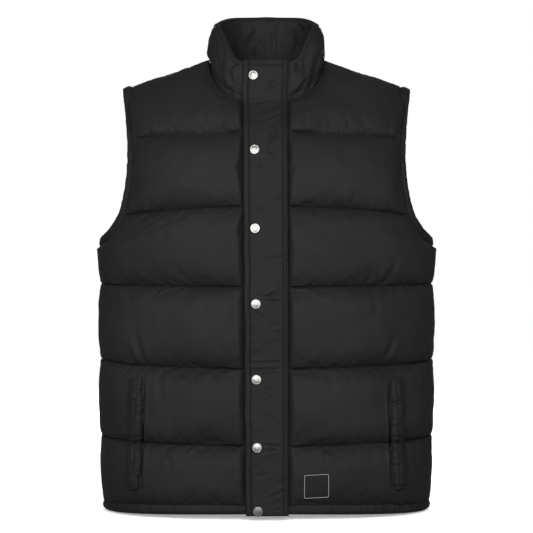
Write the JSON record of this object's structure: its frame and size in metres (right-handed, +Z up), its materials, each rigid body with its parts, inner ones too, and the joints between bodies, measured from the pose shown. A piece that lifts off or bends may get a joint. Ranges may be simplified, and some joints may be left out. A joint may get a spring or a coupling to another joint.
{
  "type": "quilted puffer vest",
  "caption": "Sleeveless padded jacket with horizontal quilting, a stand collar, a snap-closed placket over the front opening and slanted welt pockets.",
  "frame": {"origin": "midway between the two high shoulder points, in the plane of the shoulder and side seams, where the wearer's shoulders carry the vest", "axes": "+Z up, the front faces -Y, +X is the wearer's left"},
  "size_m": [0.4986, 0.2641, 0.7441],
  "materials": {
    "shell_fabric": "black plain-weave nylon, soft sheen",
    "trim_fabric": "black plain-weave nylon, soft sheen",
    "patch_fabric": "black woven patch with a thin grey border, matt",
    "snap_metal": "brushed silver snap caps"
  },
  "bodies": {
    "root": {"back": "shell_fabric", "front_left": "shell_fabric", "front_right": "shell_fabric", "collar": "shell_fabric", "placket": "trim_fabric", "armhole_band_left": "trim_fabric", "armhole_band_right": "trim_fabric", "hem_band": "trim_fabric", "pocket_welt_left": "trim_fabric", "pocket_welt_right": "trim_fabric", "patch": "patch_fabric", "snap_cap_1": "snap_metal", "snap_cap_2": "snap_metal", "snap_cap_3": "snap_metal", "snap_cap_4": "snap_metal", "snap_cap_5": "snap_metal", "snap_cap_6": "snap_metal", "snap_cap_7": "snap_metal"}
  },
  "joints": []
}
